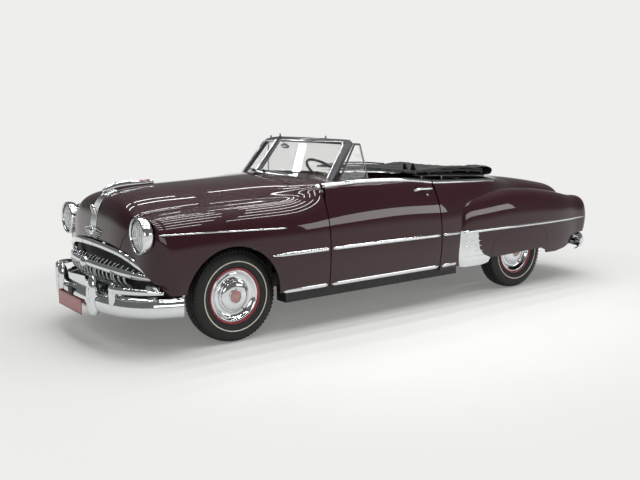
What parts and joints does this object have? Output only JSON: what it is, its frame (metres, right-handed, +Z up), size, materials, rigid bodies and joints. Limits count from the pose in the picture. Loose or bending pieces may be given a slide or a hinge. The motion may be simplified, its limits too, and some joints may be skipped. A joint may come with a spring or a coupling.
{
  "type": "convertible car",
  "caption": "Two-door open car of about 1950 with its cloth top folded, wide chromed grille and bumpers, skirted rear wheels and a split windshield.",
  "frame": {"origin": "on the ground, under the middle of the whole car's box", "axes": "+X forward, +Y to the car's left, +Z up"},
  "size_m": [5.1452, 1.9244, 1.4906],
  "materials": {
    "maroon_paint": "deep gloss",
    "chrome": "polished plate",
    "clear_glass": "clear, faint green",
    "lamp_glass": "ribbed clear",
    "red_glass": "ribbed red",
    "tyre_rubber": "black side wall",
    "frame_black": "satin black",
    "cast_iron": "rough painted",
    "bare_steel": "dull",
    "top_cloth": "woven, matte",
    "seat_hide": "soft sheen",
    "dash_paint": "semi gloss",
    "wheel_plastic": "moulded",
    "engine_paint": "engine enamel"
  },
  "bodies": {
    "body": {"chassis_frame": "frame_black", "cowl": "maroon_paint", "dashboard": "dash_paint", "engine_block": "engine_paint", "exhaust": "bare_steel", "fender_skirts": "maroon_paint", "floor_pan": "frame_black", "folded_top": "top_cloth", "front_bumper": "chrome", "front_fender_left": "maroon_paint", "front_fender_right": "maroon_paint", "front_seat_back": "seat_hide", "front_seat_cushion": "seat_hide", "front_suspension": "frame_black", "fuel_tank": "frame_black", "grille": "chrome", "headlamp_lenses": "lamp_glass", "headlamps": "chrome", "leaf_springs": "frame_black", "parking_lamps": "lamp_glass", "radiator": "frame_black", "rear_axle": "cast_iron", "rear_body": "maroon_paint", "rear_bumper": "chrome", "rear_fender_left": "maroon_paint", "rear_fender_right": "maroon_paint", "rear_seat_back": "seat_hide", "rear_seat_cushion": "seat_hide", "steering_column": "frame_black", "stone_guards": "chrome", "tail_lamps": "red_glass", "top_irons": "frame_black", "windshield_frame": "chrome", "windshield_glass": "clear_glass"},
    "hood": {"hood": "maroon_paint", "hood_ornament": "chrome"},
    "decklid": {"decklid": "maroon_paint"},
    "door_left": {"door_left": "maroon_paint", "vent_window_left": "clear_glass"},
    "door_right": {"door_right": "maroon_paint", "vent_window_right": "clear_glass"},
    "knuckle_left": {"knuckle_left": "cast_iron"},
    "knuckle_right": {"knuckle_right": "cast_iron"},
    "wheel_front_left": {"tyre_front_left": "tyre_rubber", "wheel_front_left": "chrome"},
    "wheel_front_right": {"tyre_front_right": "tyre_rubber", "wheel_front_right": "chrome"},
    "wheel_rear_left": {"tyre_rear_left": "tyre_rubber", "wheel_rear_left": "chrome"},
    "wheel_rear_right": {"tyre_rear_right": "tyre_rubber", "wheel_rear_right": "chrome"},
    "steering_wheel": {"steering_wheel": "wheel_plastic"}
  },
  "joints": [
    {"name": "hood_hinge", "type": "hinge", "parent": "body", "child": "hood", "pos_m": [1.0042, 0, 1.183], "axis": [0, -1, 0], "range_deg": [0, 50]},
    {"name": "decklid_hinge", "type": "hinge", "parent": "body", "child": "decklid", "pos_m": [-1.5287, 0, 1.053], "axis": [0, 1, 0], "range_deg": [0, 55]},
    {"name": "door_left_hinge", "type": "hinge", "parent": "body", "child": "door_left", "pos_m": [0.7735, 0.93, 0.7], "axis": [0, 0, -1], "range_deg": [0, 65]},
    {"name": "door_right_hinge", "type": "hinge", "parent": "body", "child": "door_right", "pos_m": [0.7735, -0.93, 0.7], "axis": [0, 0, 1], "range_deg": [0, 65]},
    {"name": "kingpin_left", "type": "hinge", "parent": "body", "child": "knuckle_left", "pos_m": [1.626, 0.655, 0.35], "axis": [0, 0, 1], "range_deg": [-30, 30]},
    {"name": "kingpin_right", "type": "hinge", "parent": "body", "child": "knuckle_right", "pos_m": [1.626, -0.655, 0.35], "axis": [0, 0, 1], "range_deg": [-30, 30]},
    {"name": "wheel_front_left_spin", "type": "hinge", "parent": "knuckle_left", "child": "wheel_front_left", "pos_m": [1.626, 0.7365, 0.35], "axis": [0, 1, 0], "continuous": true},
    {"name": "wheel_front_right_spin", "type": "hinge", "parent": "knuckle_right", "child": "wheel_front_right", "pos_m": [1.626, -0.7365, 0.35], "axis": [0, 1, 0], "continuous": true},
    {"name": "wheel_rear_left_spin", "type": "hinge", "parent": "body", "child": "wheel_rear_left", "pos_m": [-1.422, 0.7495, 0.35], "axis": [0, 1, 0], "continuous": true},
    {"name": "wheel_rear_right_spin", "type": "hinge", "parent": "body", "child": "wheel_rear_right", "pos_m": [-1.422, -0.7495, 0.35], "axis": [0, 1, 0], "continuous": true},
    {"name": "steering_wheel_turn", "type": "hinge", "parent": "body", "child": "steering_wheel", "pos_m": [0.45252, 0.3792, 1.165], "axis": [-0.6427, 0, 0.7661], "range_deg": [-541, 541]}
  ],
  "couplings": [
    {"joint": "kingpin_right", "follows": "kingpin_left", "ratio": 1},
    {"joint": "steering_wheel_turn", "follows": "kingpin_left", "ratio": 18}
  ]
}
